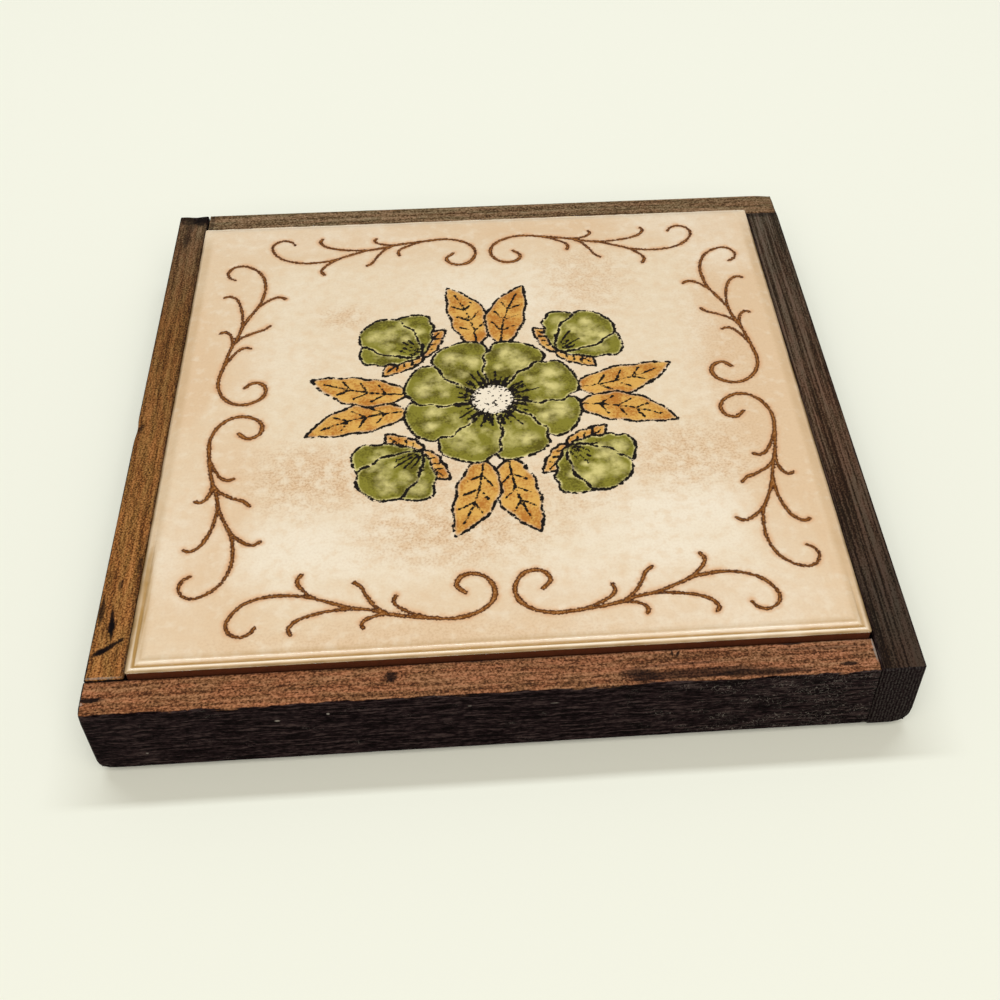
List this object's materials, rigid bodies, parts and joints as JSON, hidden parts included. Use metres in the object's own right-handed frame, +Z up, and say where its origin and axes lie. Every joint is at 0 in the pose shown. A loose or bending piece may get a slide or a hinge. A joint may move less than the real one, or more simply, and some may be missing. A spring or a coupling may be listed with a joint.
{
  "type": "tile trivet",
  "caption": "Square trivet: a glazed clay tile with a low ledge, bedded on a base board inside a frame of butted wood rails, on cork feet.",
  "frame": {"origin": "on the table, under the centre of the frame", "axes": "+Z up out of the tile's face, front along -Y, +X to the right"},
  "size_m": [0.1704, 0.1702, 0.0232],
  "materials": {
    "stained_wood": "dark stain, worn thin on the upper faces",
    "plywood": "bare sanded veneer",
    "glazed_clay": "cream glaze with mottled tints and fired decoration, bare red clay below the glaze line",
    "adhesive": "dried mastic",
    "brad_steel": "drawn wire, dull",
    "wood_filler": "stained wood filler, flush",
    "cork": "bare pressed cork"
  },
  "bodies": {
    "root": {"front_rail": "stained_wood", "left_rail": "stained_wood", "back_rail": "stained_wood", "right_rail": "stained_wood", "base_board": "plywood", "tile": "glazed_clay", "tile_adhesive": "adhesive", "rail_brads": "brad_steel", "brad_fillers": "wood_filler", "foot_front_left": "cork", "foot_front_right": "cork", "foot_back_left": "cork", "foot_back_right": "cork"}
  },
  "joints": []
}
